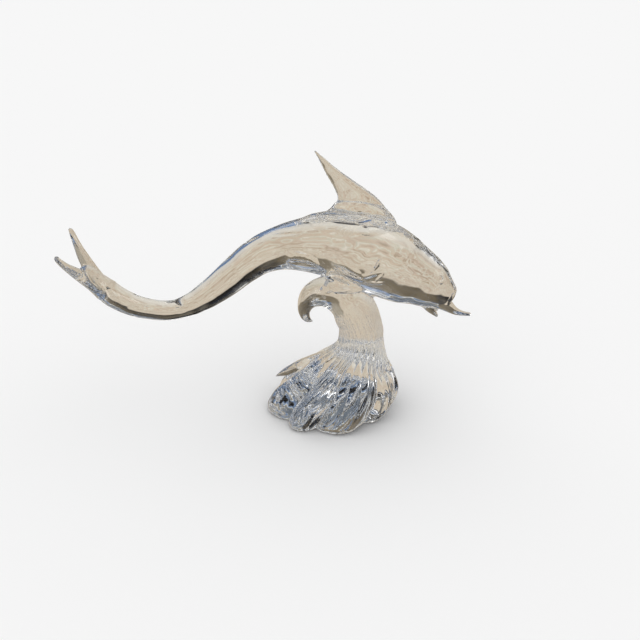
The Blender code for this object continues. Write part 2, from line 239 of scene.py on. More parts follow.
# Places where the hot glass was pressed in or raised, on both sides alike: x, y and z of the
# middle from the belly's rest, half the length, depth and height, all as shares of the
# dolphin's length, the slope in degrees, the rise, and how much of the place its edge takes.
PRESSED = [
    # along the back and under the dorsal fin
    (0.012, 0.000, 0.165, 0.118, 0.075, 0.045, -4, 0.0020, 0.25),
    (-0.010, 0.037, 0.1665, 0.050, 0.020, 0.0036, -5, -0.0021, 1.0),
    (0.045, 0.028, 0.1685, 0.042, 0.020, 0.0036, 8, -0.0021, 1.0),
    (0.033, 0.020, 0.1780, 0.010, 0.020, 0.0030, 0, -0.0014, 1.0),
    (0.044, 0.043, 0.1580, 0.014, 0.020, 0.0040, -4, -0.0022, 1.0),
    (0.046, 0.053, 0.1460, 0.018, 0.020, 0.0080, -8, 0.0022, 0.7),
    (0.106, 0.017, 0.1565, 0.020, 0.020, 0.0060, -18, 0.0018, 0.8),
    (-0.222, 0.016, 0.1100, 0.036, 0.020, 0.0075, 29, -0.0016, 0.8),
    (-0.140, 0.032, 0.1360, 0.048, 0.020, 0.0050, 8, -0.0015, 0.9),
    # low on the flank, behind the pectoral fin and ahead of it
    (-0.092, 0.040, 0.060, 0.050, 0.030, 0.018, -16, 0.0022, 0.35),
    (0.012, 0.059, 0.044, 0.050, 0.020, 0.009, -25, 0.0026, 1.0),
    (0.072, 0.061, 0.026, 0.028, 0.020, 0.007, 0, 0.0022, 1.0),
    (0.078, 0.066, 0.040, 0.018, 0.020, 0.0045, 50, 0.0018, 1.0),
    # on the pectoral fin and the crest beside it
    (-0.013, 0.067, 0.026, 0.032, 0.024, 0.0110, -24, -0.0050, 0.7),
    (-0.010, 0.070, 0.006, 0.034, 0.024, 0.0030, -2, -0.0016, 1.0),
    (-0.073, 0.050, -0.021, 0.022, 0.020, 0.0030, 32, -0.0015, 1.0),
    (-0.074, 0.041, -0.038, 0.018, 0.020, 0.0028, 15, -0.0013, 1.0),
    # on the root of the tail and along its underside
    (-0.588, 0.035, 0.008, 0.045, 0.030, 0.0110, -46, -0.0030, 0.8),
    (-0.488, 0.024, -0.057, 0.062, 0.030, 0.0100, -8, -0.0016, 0.9),
    (-0.407, 0.024, -0.062, 0.026, 0.030, 0.0090, -3, -0.0018, 1.0),
    # on the lobes of the wave
    (-0.080, 0.069, -0.246, 0.0105, 0.030, 0.0105, 0, -0.0020, 1.0),
    (-0.116, 0.027, -0.243, 0.0080, 0.020, 0.0080, 0, -0.0015, 1.0),
    (-0.162, 0.044, -0.285, 0.016, 0.030, 0.010, 60, -0.0020, 0.9),
    (-0.102, 0.140, -0.295, 0.030, 0.040, 0.010, 65, -0.0025, 0.8),
    (0.079, 0.068, -0.224, 0.018, 0.030, 0.006, -65, -0.0025, 1.0),
]

# Place under the dorsal fin that is hammered all over, given like a pressed place
HAMMERED = (0.000, 0.048, 0.150, 0.034, 0.030, 0.015, -4, 0.00035, 0.6)
DIMPLE = 0.0040             # from one dimple to the next
DIMPLE_SWAY = 0.8           # how far the rows of dimples sway, and how often
DIMPLE_SWAYS = 0.4
DIMPLE_CLOSENESS = 1.1      # how much closer the dimples lie upwards than along
DIMPLE_SLANT = 0.3

# Ripples over the whole surface: direction, wavelength and height
RIPPLES = [
    ((1.0, 0.3, 0.5), 0.029, 0.00012),
    ((-0.4, 0.2, 1.0), 0.021, 0.00008),
    ((0.6, -0.5, -0.8), 0.014, 0.00004),
]
RIPPLE_SWAY = 0.9           # how far the ripples bend, how often along them, and across the piece
RIPPLE_SWAYS = 0.37
RIPPLE_SWAYS_ACROSS = 40

# How many sections each form is worked out from
BODY_SECTIONS = 241
WAVE_SECTIONS = 301
DORSAL_SECTIONS = 121
LIMB_SECTIONS = 61

# How the field is worked out
FAR = 0.05                  # its value where a form is too far away to matter
AROUND_FORM = 0.012         # how far round a form its field is worked out
FLAT_CAP = 0.001            # length of the cap on a form that ends flat
LIMB_CAP = 0.0012           # the same for a limb
FIRST_LOOK = 6              # first search for a point's section: one section in so many
CORRECTIONS = 4             # how often the found place is corrected
LONGEST_STEP = 8            # by how many sections at most
SLOPE_STEP = 2e-5           # distance over which its gradient is measured
TINY = 1e-9                 # keep divisors away from nothing
SMALL = 1e-6

# How finely the surface is meshed
SWELL = 0.0014              # how far the frame's solid is swollen before it is meshed anew
CELL = 0.0026               # size of the mesh's cells, cut up where the surface is carved
EDGE_MARGIN = 0.06          # how far past the edge of a pressed place the cells are cut up
EYE_MARGIN = 2.2            # how far round an eye, as a share of its radius
SEAM_MARGIN = 1.1           # how far round a seam, as a share of its size
SEAMS_FROM = 0.1            # how high up, and how low in height, a pressed place has to be
SEAM_HEIGHT = 0.0045        # to be one of the seams under the dorsal fin
SLOPE_RANGE = (0.5, 5)      # slopes of the field that a move onto the surface reckons with

# Boxes whose cells are cut up, from the low corner to the high one. The pectoral fins lie
# further than FIN_INNER from the middle plane.
WAVE_BOX = ((-0.080, -0.1, 0.010), (0.100, 0.1, 0.140))
BEAK_BOX = ((0.120, -0.1, 0.110), (0.200, 0.1, 0.152))
BEAK_TIP_BOX = ((0.128, -0.1, 0.110), (0.200, 0.1, 0.140))
FIN_BOX = ((-0.020, -0.1, 0.130), (0.045, 0.1, 0.170))
FIN_INNER = 0.015


def spline(stations, where):
    """Natural cubic curve through evenly numbered stations, read at places from 0 to 1."""
    stations = np.asarray(stations, dtype=float)
    count = len(stations)
    system = np.eye(count)
    bends = np.zeros_like(stations)
    for i in range(1, count - 1):
        system[i, i - 1:i + 2] = (1, 4, 1)
        bends[i] = 6 * (stations[i - 1] - 2 * stations[i] + stations[i + 1])
    bends = np.linalg.solve(system, bends)
    place = np.asarray(where, dtype=float) * (count - 1)
    span = np.clip(np.floor(place).astype(int), 0, count - 2)
    t = (place - span)[:, None]
    s = 1 - t
    start, end = stations[span], stations[span + 1]
    return (s * start + t * end
            + (s ** 3 - s) * bends[span] / 6 + (t ** 3 - t) * bends[span + 1] / 6)


def unit(vectors):
    """Vectors of length 1."""
    return vectors / np.linalg.norm(vectors, axis=-1, keepdims=True)


def blended(first, second, radius):
    """Union of two fields with a smooth fillet."""
    near = np.maximum(radius - np.abs(first - second), 0) / radius
    return np.minimum(first, second) - near ** 3 * radius / 6


class Tube:
    """A form swept along a line, with oval sections that turn and change size on the way.

    square says how square each section is, with 2 an oval, and relief carves the sections.
    """

    def __init__(self, centres, ahead, tall, half_width, half_height, cap=(FLAT_CAP, FLAT_CAP)):
        self.centres = centres
        self.ahead = unit(ahead)
        self.tall = unit(tall - np.sum(tall * self.ahead, axis=1)[:, None] * self.ahead)
        self.across = np.cross(self.tall, self.ahead)
        self.half_width = half_width
        self.half_height = half_height
        self.cap = cap
        self.square = np.full(len(centres), 2.0)
        self.count = len(centres)
        reach = np.max([half_width.max(), half_height.max()]) + AROUND_FORM
        self.low = centres.min(axis=0) - reach
        self.high = centres.max(axis=0) + reach
        self.relief = None

    def read(self, table, place):
        """A table's value at each fractional place along the line."""
        i = np.clip(np.floor(place).astype(int), 0, self.count - 2)
        t = place - i
        if table.ndim == 2:
            t = t[:, None]
        return table[i] * (1 - t) + table[i + 1] * t

    def locate(self, points):
        """Fractional place on the line whose section each point lies in."""
        coarse = np.arange(0, self.count, FIRST_LOOK)
        centres, directions = self.centres[coarse], self.ahead[coarse]
        ahead = points @ directions.T - np.sum(centres * directions, axis=1)
        apart = (np.sum(points ** 2, axis=1)[:, None] + np.sum(centres ** 2, axis=1)
                 - 2 * points @ centres.T)
        out = np.sqrt(np.maximum(apart - ahead ** 2, 0))
        outside = np.maximum(out - np.maximum(self.half_width, self.half_height)[coarse], 0)
        place = coarse[np.argmin(ahead ** 2 + outside ** 2, axis=1)].astype(float)
        last = self.count - 1.0
        for _ in range(CORRECTIONS):
            front = np.clip(place + 0.5, 0, last)
            back = np.clip(place - 0.5, 0, last)
            slope = (self.past(points, front) - self.past(points, back)) / (front - back)
            slope = np.where(np.abs(slope) < TINY, -TINY, slope)
            step = np.clip(self.past(points, place) / slope, -LONGEST_STEP, LONGEST_STEP)
            place = np.clip(place - step, 0, last)
        return place

    def past(self, points, place):
        """How far each point lies ahead of the section at its place."""
        offset = points - self.read(self.centres, place)
        return np.sum(offset * self.read(self.ahead, place), axis=1)

    def field(self, points):
        """Distance outside the form, roughly, negative inside."""
        result = np.full(len(points), FAR)
        near = np.all((points > self.low) & (points < self.high), axis=1)
        if not near.any():
            return result
        points = points[near]
        place = self.locate(points)
        offset = points - self.read(self.centres, place)
        ahead = self.read(self.ahead, place)
        along = np.sum(offset * ahead, axis=1)
        x = np.sum(offset * self.read(self.across, place), axis=1)
        y = np.sum(offset * self.read(self.tall, place), axis=1)
        a = self.read(self.half_width, place)
        b = self.read(self.half_height, place)
        if self.relief:
            a, b = self.relief(np.arctan2(y / b, x / a), place, a, b)
        c = np.where(place < self.count / 2, self.cap[0], self.cap[1])
        n = self.read(self.square, place)
        # k is 1 on the surface, and its steepness turns what it lacks or exceeds into a distance
        wide, tall = np.abs(x) / a + TINY, np.abs(y) / b + TINY
        flat = (wide ** n + tall ** n) ** (1 / n)
        k = np.hypot(flat, along / c)
        steep = np.sqrt((flat ** (2 - n) * wide ** (n - 1) / a) ** 2
                        + (flat ** (2 - n) * tall ** (n - 1) / b) ** 2
                        + (along / c ** 2) ** 2) / k + SMALL
        result[near] = np.clip((k - 1) / steep, -FAR, FAR)
        return result


def belly_rest():
    """World point that the dolphin is placed by, where its belly lies on the crest."""
    return np.array([SADDLE_X, 0.0, WAVE_HEIGHT - CREST_BITE])


def dolphin_points(x_shares, y_values, z_shares):
    """World points from shares of the dolphin's length and real distances across."""
    x = np.asarray(x_shares) * DOLPHIN_LENGTH
    z = np.asarray(z_shares) * DOLPHIN_LENGTH
    return belly_rest() + np.stack([x, np.broadcast_to(y_values, x.shape), z], axis=1)


def backs(ahead):
    """Direction square to each direction of travel, upwards in the dolphin's middle plane."""
    return np.stack([-ahead[:, 2], ahead[:, 1], ahead[:, 0]], axis=1)


def body_frame(where):
    """Middle, direction, back side, half height and half width of the body at each place."""
    x, z, half_height, flatness = spline(BODY, where).T
    centres = dolphin_points(x, 0.0, z)
    ahead = unit(np.gradient(centres, axis=0))
    half_height = half_height * DOLPHIN_LENGTH
    return centres, ahead, backs(ahead), half_height, half_height * flatness


def body_form():
    """The dolphin's body, from the root of the tail to the rounded forehead."""
    centres, ahead, back, half_height, half_width = body_frame(np.linspace(0, 1, BODY_SECTIONS))
    caps = (TAIL_REACH * DOLPHIN_LENGTH, NOSE_REACH * DOLPHIN_LENGTH)
    return Tube(centres, ahead, back, half_width, half_height, caps)


def limb_form(centres, upright, half_width, half_height):
    """A tapering limb along a chain of centres, widest across the upright direction."""
    ahead = np.gradient(centres, axis=0)
    tall = np.broadcast_to(upright, centres.shape)
    return Tube(centres, ahead, tall, half_width, half_height, (LIMB_CAP, LIMB_CAP))


def dorsal_form():
    """The tall dorsal fin in level slices, swept back to its tip."""
    z, rear, front, thickness = spline(DORSAL, np.linspace(0, 1, DORSAL_SECTIONS)).T
    centres = dolphin_points((rear + front) / 2, 0.0, z)
    level = np.tile([0.0, 0.0, 1.0], (len(z), 1))
    aside = np.tile([0.0, 1.0, 0.0], (len(z), 1))
    half_chord = (front - rear) / 2 * DOLPHIN_LENGTH
    return Tube(centres, level, aside, half_chord, thickness * DORSAL_THICKNESS / 2)


def tail_form(side):
    """One lobe of the tail, spread and lifted off the tail's own line."""
    sections = spline(TAIL_LOBE, np.linspace(0, 1, LIMB_SECTIONS))
    along, spread, lift, half_width, thickness = sections.T
    centres, ahead, back, _, _ = body_frame(np.array([0.0, TAIL_ROOT]))
    drawn = 1 + side * TAIL_UNEVEN
    aside = spread * side * TAIL_SPREAD / 2
    points = (centres[0] - np.outer(along * drawn * DOLPHIN_LENGTH, ahead[0])
              + np.outer(lift * DOLPHIN_LENGTH - aside * TAIL_ROLL, back[0])
              + np.outer(aside, [0.0, 1.0, 0.0]))
    return limb_form(points, back[0], half_width * DOLPHIN_LENGTH,
                     thickness * TAIL_LOBE_THICKNESS / 2)


def pectoral_form(side):
    """One pectoral fin, swept back along the flank and over the crest."""
    x, z, spread, half_width, thickness = spline(PECTORAL, np.linspace(0, 1, LIMB_SECTIONS)).T
    points = dolphin_points(x, spread * side * PECTORAL_SPREAD / 2, z)
    upright = np.cross(np.array(PECTORAL_ACROSS) * (1, side, 1), [1.0, 0.0, 0.0])
    return limb_form(points, upright, half_width * DOLPHIN_LENGTH,
                     thickness * PECTORAL_THICKNESS / 2)


def muzzle_form(stations):
    """The upper beak or the lower jaw."""
    x, z, half_height, width = spline(stations, np.linspace(0, 1, LIMB_SECTIONS)).T
    centres = dolphin_points(x, 0.0, z)
    upright = backs(unit(np.gradient(centres, axis=0)))
    return limb_form(centres, upright, width * BEAK_WIDTH / 2, half_height * DOLPHIN_LENGTH)


def lobe_share(angle):
    """How far across its lobe each angle lies, from 0 at one groove to 1 at the next."""
    grooves = np.radians(GROOVES + (GROOVES[0] + 360,))
    turned = np.mod(angle - grooves[0], 2 * math.pi) + grooves[0]
    return np.interp(turned, grooves, np.arange(len(grooves))) % 1


def striae(angle, place, radius):
    """Fine drawn lines that wander as they run along the wave."""
    wander = angle
    for reach, turns, bends in WANDER:
        wander = wander + reach * np.sin(turns * angle + bends * place)
    return sum(slope * radius / count * np.sin(count * wander + start)
               for count, slope, start in STRIAE)


def valleys(place, fullness, rounding):
    """Depth of narrow valleys, 1 where the place is a whole number and 0 half way between."""
    return 1 - (np.sin(math.pi * place) ** 2 + rounding) ** fullness


def wave_form():
    """The lobed foot, the ribbed skirt, the neck and the curl, as one smooth run of sections."""
    foot_flare = (FOOT_RADIUS - NECK_WIDTH / 2) / (SKIRT_RADIUS - NECK_WIDTH / 2)
    under_height, under_lean, less_flare = UNDER_FLOOR
    rows = []
    for height, lean, flare in [(under_height, under_lean, foot_flare - less_flare)] + SKIRT:
        half_width = NECK_WIDTH / 2 + flare * (SKIRT_RADIUS - NECK_WIDTH / 2)
        half_depth = NECK_DEPTH / 2 + flare * (SKIRT_RADIUS - NECK_DEPTH / 2)
        rows.append((lean, height, 0.0, half_width, half_depth, flare, 1.0))
    for step, (x, z, tilt, width, depth) in enumerate(CURL):
        rows.append((x, z, math.radians(tilt), width * NECK_WIDTH / 2, depth * NECK_DEPTH / 2,
                     0.0, max(0.0, 1 - step / RIBBED_CURL_STEPS)))
    where = np.linspace(0, 1, WAVE_SECTIONS)
    x, z, tilt, half_width, half_depth, flare, ribbed = spline(rows, where).T
    centres = np.stack([x, 0 * x, z], axis=1) * WAVE_HEIGHT
    ahead = np.stack([-np.sin(tilt), 0 * x, np.cos(tilt)], axis=1)
    aside = np.tile([0.0, 1.0, 0.0], (len(x), 1))
    form = Tube(centres, ahead, aside, half_width, half_depth)
    form.square = spline(np.array(SQUARENESS)[:, None], where)[:, 0]
    flare = np.maximum(flare, 0)
    ribbed = np.clip(ribbed, 0, 1)
    taper = CREST_TAPER * np.clip(tilt / CREST_TILT, 0, 1)

    def relief(angle, place, a, b):
        """Half width and half depth of the wave's section at an angle, with its grooves cut in."""
        share = lobe_share(angle)
        groove = valleys(share, *GROOVE_SHAPE)
        crease = valleys(RIBS_PER_LOBE * share, *CREASE_SHAPE)
        spread = form.read(flare, place)
        ribs = RIB_SCALE * RIB_DEPTH * np.sqrt(a / SKIRT_RADIUS) * crease * (1 - RIB_FADE * spread)
        ribs = ribs + striae(angle, place / form.count, a) * (1 - spread)
        sunk = LOBE_GROOVE * spread * groove + form.read(ribbed, place) * ribs
        return a - sunk, (b - sunk) * (1 + form.read(taper, place) * np.cos(angle))

    form.relief = relief
    return form


def spike_form():
    """The lobe of the skirt that is drawn out into a point."""
    x, y, z, radius = spline(SPIKE, np.linspace(0, 1, LIMB_SECTIONS)).T * WAVE_HEIGHT
    centres = np.stack([x, y, z], axis=1)
    return limb_form(centres, SPIKE_FACE, radius * SPIKE_WIDTH, radius * SPIKE_THICKNESS)


class Ring:
    """A round ring with a round section."""

    def __init__(self, middle, axis, radius, thickness):
        self.middle, self.axis = middle, unit(axis)
        self.radius, self.thickness = radius, thickness

    def field(self, points):
        """Distance outside the ring, negative inside."""
        offset = points - self.middle
        height = offset @ self.axis
        out = np.linalg.norm(offset - height[:, None] * self.axis, axis=1) - self.radius
        return np.minimum(np.hypot(out, height) - self.thickness, FAR)


def eye_form(side):
    """A raised ring pressed into the cheek."""
    step = 0.01
    around = np.array([EYE_ALONG - step, EYE_ALONG, EYE_ALONG + step])
    centres, _, back, half_height, half_width = (part[1] for part in body_frame(around))
    across = np.array([0.0, float(side), 0.0])
    spot = (centres + back * half_height * math.sin(EYE_ANGLE)
            + across * half_width * math.cos(EYE_ANGLE))
    outward = (back * math.sin(EYE_ANGLE) / half_height + across * math.cos(EYE_ANGLE) / half_width)
    return Ring(spot, outward, EYE_RADIUS, EYE_RADIUS * EYE_THICKNESS)


class Mark:
    """A place where the surface is pressed in or raised, the same on both sides."""

    def __init__(self, x, y, z, length, depth, height, slope, rise, edge):
        self.middle = np.array([x, y, z]) * DOLPHIN_LENGTH + belly_rest()
        self.radii = np.array([length, depth, height]) * DOLPHIN_LENGTH
        self.slope = math.radians(slope)
        self.rise, self.edge = rise, edge

    def out(self, points):
        """How far out each point lies: 0 in the middle, 1 at the rim."""
        x, y, z = (points * (1, 0, 1) + np.abs(points) * (0, 1, 0) - self.middle).T
        along = x * math.cos(self.slope) + z * math.sin(self.slope)
        height = z * math.cos(self.slope) - x * math.sin(self.slope)
        return np.linalg.norm(np.stack([along, y, height], axis=1) / self.radii, axis=1)

    def raised(self, points):
        """How far each point's surface is raised."""
        share = np.clip((1 - self.out(points)) / self.edge, 0, 1)
        return self.rise * share ** 2 * (3 - 2 * share)

    def slopes_at(self, points):
        """Whether each point lies on the edge of the place, where the surface slopes."""
        out = self.out(points)
        return (out < 1 + EDGE_MARGIN) & (out > 1 - EDGE_MARGIN - self.edge)


def rippled(points):
    """Gentle unevenness of the hot worked surface."""
    result = np.zeros(len(points))
    for direction, wavelength, height in RIPPLES:
        turn = 2 * math.pi * points @ unit(np.array(direction)) / wavelength
        bend = np.sin(RIPPLE_SWAYS * turn + RIPPLE_SWAYS_ACROSS * points[:, 1])
        result += height * np.sin(turn + RIPPLE_SWAY * bend)
    return result


def hammered(points):
    """Small dimples, close together, in the hammered place."""
    x, _, z = points.T * 2 * math.pi / DIMPLE
    along = np.sin(x + DIMPLE_SWAY * np.sin(DIMPLE_SWAYS * z))
    up = np.sin(DIMPLE_CLOSENESS * z + DIMPLE_SLANT * x)
    return Mark(*HAMMERED).raised(points) * along * up


class Sculpture:
    """All forms of the glass run together, with a fillet of its own at each join."""

    def __init__(self):
        self.wave = wave_form()
        self.joins = [
            (spike_form(), SPIKE_FILLET),
            (body_form(), BODY_FILLET),
            (dorsal_form(), DORSAL_FILLET),
            (muzzle_form(BEAK), BEAK_FILLET),
            (muzzle_form(JAW), BEAK_FILLET),
        ]
        for side in (1, -1):
            self.joins.append((tail_form(side), TAIL_FILLET))
            self.joins.append((pectoral_form(side), PECTORAL_FILLET))
            self.joins.append((eye_form(side), EYE_FILLET))
        self.marks = [Mark(*values) for values in PRESSED]

    def field(self, points):
        """Distance outside the glass, roughly, negative inside."""
        result = self.wave.field(points)
        for form, fillet in self.joins:
            result = blended(result, form.field(points), fillet)
        result = result + rippled(points) - sum(mark.raised(points) for mark in self.marks)
        result = result - hammered(points)
        above_floor = points[:, 2]
        return -blended(-result, above_floor, FOOT_FILLET)

    def slope(self, points):
        """Field value and its gradient."""
        value = self.field(points)
        gradient = np.empty_like(points)
        for axis in range(3):
            moved = points.copy()
            moved[:, axis] += SLOPE_STEP
            gradient[:, axis] = (self.field(moved) - value) / SLOPE_STEP
        return value, gradient


def swollen_cells(node):
    """Evenly meshed copy of the frame's solid, swollen so that the thin fins keep two sides."""
    shape = bmesh.new()
    shape.from_mesh(node.data)
    bmesh.ops.remove_doubles(shape, verts=shape.verts[:], dist=SMALL)
    bmesh.ops.recalc_face_normals(shape, faces=shape.faces[:])
    mesh = bpy.data.meshes.new("cells")
    shape.to_mesh(mesh)
    shape.free()
    source = bpy.data.objects.new("cells", mesh)
    bpy.context.scene.collection.objects.link(source)
    swell = source.modifiers.new("swell", "DISPLACE")
    swell.strength = SWELL
    swell.mid_level = 0.0
    cells = source.modifiers.new("cells", "REMESH")
    cells.mode = "VOXEL"
    cells.voxel_size = CELL
    bpy.context.view_layer.update()
    evaluated = source.evaluated_get(bpy.context.evaluated_depsgraph_get())
    result = bpy.data.meshes.new_from_object(evaluated)
    bpy.data.objects.remove(source)
    return result


def finer(mesh, wanted, cuts):
    """Cut up the cells whose middle the test picks out."""
    shape = bmesh.new()
    shape.from_mesh(mesh)
    chosen = wanted(np.array([face.calc_center_median() for face in shape.faces]))
    edges = {edge for face, pick in zip(shape.faces, chosen) if pick for edge in face.edges}
    bmesh.ops.subdivide_edges(shape, edges=list(edges), cuts=cuts, use_grid_fill=True)
    odd = [face for face in shape.faces if len(face.verts) > 4]
    bmesh.ops.triangulate(shape, faces=odd)
    shape.to_mesh(mesh)
    shape.free()


def inside(points, box):
    """Whether each point lies in a box."""
    low, high = box
    return np.all((points > low) & (points < high), axis=1)


def carved_places(middles):
    """The ribbed wave, the beak and jaw, the pectoral fins, and the edges of the pressed places."""
    fins = inside(middles, FIN_BOX) & (np.abs(middles[:, 1]) > FIN_INNER)
    result = inside(middles, WAVE_BOX) | inside(middles, BEAK_BOX) | fins
    for values in PRESSED + [HAMMERED]:
        result |= Mark(*values).slopes_at(middles)
    return result


def fine_places(middles):
    """The tips of the beak and jaw, the eyes, and the narrow seams under the dorsal fin."""
    result = inside(middles, BEAK_TIP_BOX)
    for side in (1, -1):
        ring = eye_form(side)
        result |= np.linalg.norm(middles - ring.middle, axis=1) < ring.radius * EYE_MARGIN
    for values in PRESSED:
        _, _, up, _, _, height, *_ = values
        if up > SEAMS_FROM and height < SEAM_HEIGHT:
            result |= Mark(*values).out(middles) < SEAM_MARGIN
    return result


def coordinates(mesh):
    """The places of a mesh's vertices."""
    points = np.empty(len(mesh.vertices) * 3, dtype=np.float32)
    mesh.vertices.foreach_get("co", points)
    return points.reshape(-1, 3).astype(float)


def settled(points, edges, sculpture):
    """Points moved onto the sculpture's surface and spread evenly over it, with its normals."""
    count = len(points)
    start, end = edges.T
    degree = np.bincount(edges.ravel(), minlength=count)[:, None]
    # First onto the surface, then three rounds along it and back onto it, and once more onto it
    for spreading in (False, True, True, True, False):
        if spreading:
            total = np.zeros_like(points)
            for axis in range(3):
                total[:, axis] = (np.bincount(start, points[end, axis], count)
                                  + np.bincount(end, points[start, axis], count))
            drift = total / degree - points
            points = points + 0.5 * (drift - np.sum(drift * normals, axis=1)[:, None] * normals)
        value, gradient = sculpture.slope(points)
        length = np.linalg.norm(gradient, axis=1)
        normals = gradient / np.maximum(length, SMALL)[:, None]
        move = np.clip(value / np.clip(length, *SLOPE_RANGE), -CELL, CELL)
        points = points - move[:, None] * normals
    for _ in range(2):
        value = sculpture.field(points)
        move = np.clip(value / np.clip(length, *SLOPE_RANGE), -CELL / 2, CELL / 2)
        points = points - move[:, None] * normals
    points[:, 2] = np.maximum(points[:, 2], 0)
    _, gradient = sculpture.slope(points)
    return points, unit(gradient)


def drawn_places(points, wave):
    """Places for lines drawn along the wave, round it and along it, and how much the lines show."""
    place = wave.locate(points)
    offset = points - wave.read(wave.centres, place)
    x = np.sum(offset * wave.read(wave.across, place), axis=1) / wave.read(wave.half_width, place)
    y = np.sum(offset * wave.read(wave.tall, place), axis=1) / wave.read(wave.half_height, place)
    out = np.maximum(np.hypot(x, y), SMALL)
    along = place / wave.count
    waist = np.exp(-((along - WAIST_PLACE) / WAIST_REACH) ** 2)
    on_wave = np.clip(1 - wave.field(points) / DRAWN_DEPTH, 0, 1)
    shown = on_wave * (DRAWN_REST + (1 - DRAWN_REST) * waist)
    return np.stack([x / out, y / out, along], axis=1), shown


def make_sculpture(node):
    """The finished glass as one smooth closed piece."""
    mesh = swollen_cells(node)
    finer(mesh, carved_places, 1)
    finer(mesh, fine_places, 1)
    edges = np.empty(len(mesh.edges) * 2, dtype=np.int32)
    mesh.edges.foreach_get("vertices", edges)
    sculpture = Sculpture()
    points, normals = settled(coordinates(mesh), edges.reshape(-1, 2), sculpture)
    mesh.vertices.foreach_set("co", points.astype(np.float32).ravel())
    drawn, shown = drawn_places(points, sculpture.wave)
    along = mesh.attributes.new("drawn", "FLOAT_VECTOR", "POINT")
    along.data.foreach_set("vector", drawn.astype(np.float32).ravel())
    share = mesh.attributes.new("drawn_share", "FLOAT", "POINT")
    share.data.foreach_set("value", shown.astype(np.float32))
    mesh.shade_smooth()
    mesh.normals_split_custom_set_from_vertices(normals)
    mesh.update()
    mesh.name = "polished_glass"
    piece = bpy.data.objects.new("polished_glass", mesh)
    bpy.context.scene.collection.objects.link(piece)
    return piece


GLASS_TINT = (0.985, 0.975, 0.955, 1.0)
GLASS_IOR = 1.5
GLASS_ROUGHNESS = 0.0

# Lines drawn along the wave: how often their noise repeats round it and along it
DRAWN_COUNT = (9.0, 9.0, 3.0)
DRAWN_HEIGHT = 0.00022
DRAWN_REST = 0.20           # share of the height away from the waist of the wave
DRAWN_DEPTH = 0.004         # the lines fade out this far outside the wave's own surface
WAIST_PLACE = 0.43          # share of the way along the wave's sections
WAIST_REACH = 0.09

# Faint cords in the glass: how many to a metre, how fine, how twisted, and their height
CORD_SCALE = 70.0
CORD_DETAIL = 1.0
CORD_TWIST = 1.5
CORD_HEIGHT = 0.00006


def linear(red, green, blue):
    """Scene colour from a display colour given from 0 to 255."""
    shares = [channel / 255 for channel in (red, green, blue)]
    return tuple(((s + 0.055) / 1.055) ** 2.4 for s in shares) + (1.0,)


class Shading:
    """A node tree, with short calls for the nodes that the materials are built from."""

    def __init__(self, tree):
        self.tree = tree
        tree.nodes.clear()

    def node(self, kind, inputs=(), **settings):
        """A node of a kind; each input is a value or the socket that it is linked from."""
        node = self.tree.nodes.new(kind)
        for name, value in settings.items():
            setattr(node, name, value)
        for socket, value in dict(inputs).items():
            if isinstance(value, bpy.types.NodeSocket):
                self.tree.links.new(value, node.inputs[socket])
            else:
                node.inputs[socket].default_value = value
        return node

    def math(self, operation, *values):
        """One step of arithmetic; values are numbers or sockets."""
        return self.node("ShaderNodeMath", enumerate(values), operation=operation).outputs[0]

    def step(self, value, low, high):
        """0 below low, 1 above high, smooth between."""
        places = {"Value": value, "From Min": low, "From Max": high}
        return self.node("ShaderNodeMapRange", places, interpolation_type="SMOOTHSTEP").outputs[0]

    def mix(self, share, first, second):
        """The second colour laid over the first by a share."""
        sockets = {"Factor": share, "A": first, "B": second}
        return self.node("ShaderNodeMix", sockets, data_type="RGBA").outputs["Result"]

    def noise(self, where, scale, detail=0.0, distortion=0.0):
        """Soft noise from 0 to 1."""
        inputs = {"Vector": where, "Scale": scale, "Detail": detail, "Distortion": distortion}
        return self.node("ShaderNodeTexNoise", inputs).outputs[0]

    def ramp(self, value, stops):
        """A colour for each value, from stops of (place, colour)."""
        node = self.node("ShaderNodeValToRGB", {0: value})
        ramp = node.color_ramp
        for place, _ in stops[1:-1]:
            ramp.elements.new(place)
        for element, (place, colour) in zip(ramp.elements, stops):
            element.position = place
            element.color = colour
        return node.outputs[0]

    def facing(self, direction, towards, outer, inner):
        """1 within the inner angle from a direction, in degrees, and 0 beyond the outer."""
        dot = self.node("ShaderNodeVectorMath", {0: direction, 1: Vector(towards).normalized()},
                        operation="DOT_PRODUCT").outputs["Value"]
        return self.step(dot, math.cos(math.radians(outer)), math.cos(math.radians(inner)))


def glass():
    """Clear polished glass, with fine lines drawn along the wave and faint cords in the rest."""
    material = bpy.data.materials.new("clear_glass")
    material.use_nodes = True
    s = Shading(material.node_tree)
    drawn = s.node("ShaderNodeAttribute", attribute_name="drawn").outputs["Vector"]
    share = s.node("ShaderNodeAttribute", attribute_name="drawn_share").outputs["Fac"]
    counted = s.node("ShaderNodeVectorMath", {0: drawn, 1: DRAWN_COUNT}, operation="MULTIPLY")
    lines = s.math("MULTIPLY", s.noise(counted.outputs[0], 1.0), share)
    place = s.node("ShaderNodeTexCoord").outputs["Object"]
    cords = s.math("MULTIPLY", s.noise(place, CORD_SCALE, CORD_DETAIL, CORD_TWIST), CORD_HEIGHT)
    height = s.math("ADD", s.math("MULTIPLY", lines, DRAWN_HEIGHT), cords)
    bump = s.node("ShaderNodeBump", {"Height": height, "Distance": 1.0}).outputs[0]
    shader = s.node("ShaderNodeBsdfPrincipled", {
        "Base Color": GLASS_TINT, "Roughness": GLASS_ROUGHNESS, "IOR": GLASS_IOR,
        "Transmission Weight": 1.0, "Normal": bump})
    s.node("ShaderNodeOutputMaterial", {"Surface": shader.outputs[0]})
    return material


NIGHT = linear(28, 25, 22)
# colour of the painted shadow that the piece throws on the table below it
PAINTED_SHADOW_COLOUR = linear(62, 54, 45)
BROWN = linear(98, 88, 70)
CLAY = linear(128, 118, 100)
TAN = linear(166, 158, 143)
SLATE = linear(104, 112, 122)
BLUE = linear(112, 134, 168)
PALE = linear(218, 221, 220)
WHITE = (1.0, 1.0, 1.0, 1.0)

